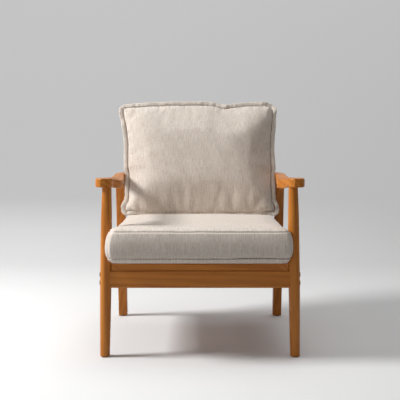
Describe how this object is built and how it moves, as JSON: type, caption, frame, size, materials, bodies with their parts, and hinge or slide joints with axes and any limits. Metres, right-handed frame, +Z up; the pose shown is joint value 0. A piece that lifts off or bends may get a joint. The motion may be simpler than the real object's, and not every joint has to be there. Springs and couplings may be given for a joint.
{
  "type": "armchair",
  "caption": "Wooden armchair with turned front legs, raked rear legs, sculpted arms and loose seat and back cushions, for one person to sit in.",
  "frame": {"origin": "on the floor, under the middle of the chair's overall box", "axes": "+X to the right as seen from the front, -Y towards the front, +Z up; the chair is the same on both sides of the plane X = 0"},
  "size_m": [0.6778, 0.747, 0.8486],
  "materials": {
    "walnut": "satin lacquer, walnut colour",
    "cloth": "oatmeal woven cloth with uneven threads",
    "filling": "foam and fibre filling, hidden in the covers",
    "bolt": "dark bronze, satin",
    "glide": "matte dark plastic"
  },
  "bodies": {
    "frame": {"arm_bolt_left": "bolt", "arm_bolt_right": "bolt", "arm_left": "walnut", "arm_right": "walnut", "back_bottom_rail": "walnut", "back_post_left": "walnut", "back_post_right": "walnut", "back_slat_1": "walnut", "back_slat_2": "walnut", "back_slat_3": "walnut", "back_top_rail": "walnut", "corner_block_front_left": "walnut", "corner_block_front_right": "walnut", "corner_block_rear_left": "walnut", "corner_block_rear_right": "walnut", "foot_glide_front_left": "glide", "foot_glide_front_right": "glide", "foot_glide_rear_left": "glide", "foot_glide_rear_right": "glide", "front_leg_left": "walnut", "front_leg_right": "walnut", "front_rail": "walnut", "leg_bolt_lower_left": "bolt", "leg_bolt_lower_right": "bolt", "leg_bolt_upper_left": "bolt", "leg_bolt_upper_right": "bolt", "rail_bolt_left": "bolt", "rail_bolt_right": "bolt", "rear_leg_left": "walnut", "rear_leg_right": "walnut", "rear_rail": "walnut", "seat_frame_front": "walnut", "seat_frame_rear": "walnut", "seat_frame_side_left": "walnut", "seat_frame_side_right": "walnut", "seat_ledger_left": "walnut", "seat_ledger_right": "walnut", "seat_slat_1": "walnut", "seat_slat_2": "walnut", "seat_slat_3": "walnut", "seat_slat_4": "walnut", "seat_slat_5": "walnut", "seat_slat_6": "walnut", "side_rail_left": "walnut", "side_rail_right": "walnut"},
    "seat_cushion": {"seat_cushion_cover": "cloth", "seat_cushion_foam": "filling"},
    "back_cushion": {"back_cushion_border": "cloth", "back_cushion_cover": "cloth", "back_cushion_fill": "filling"}
  },
  "joints": [
    {"name": "seat_cushion_slide", "type": "slide", "parent": "frame", "child": "seat_cushion", "axis": [0, -1, 0], "range_m": [0, 0.3]},
    {"name": "back_cushion_lift", "type": "slide", "parent": "frame", "child": "back_cushion", "axis": [0, 0.225, 0.9744], "range_m": [0, 0.04]}
  ]
}
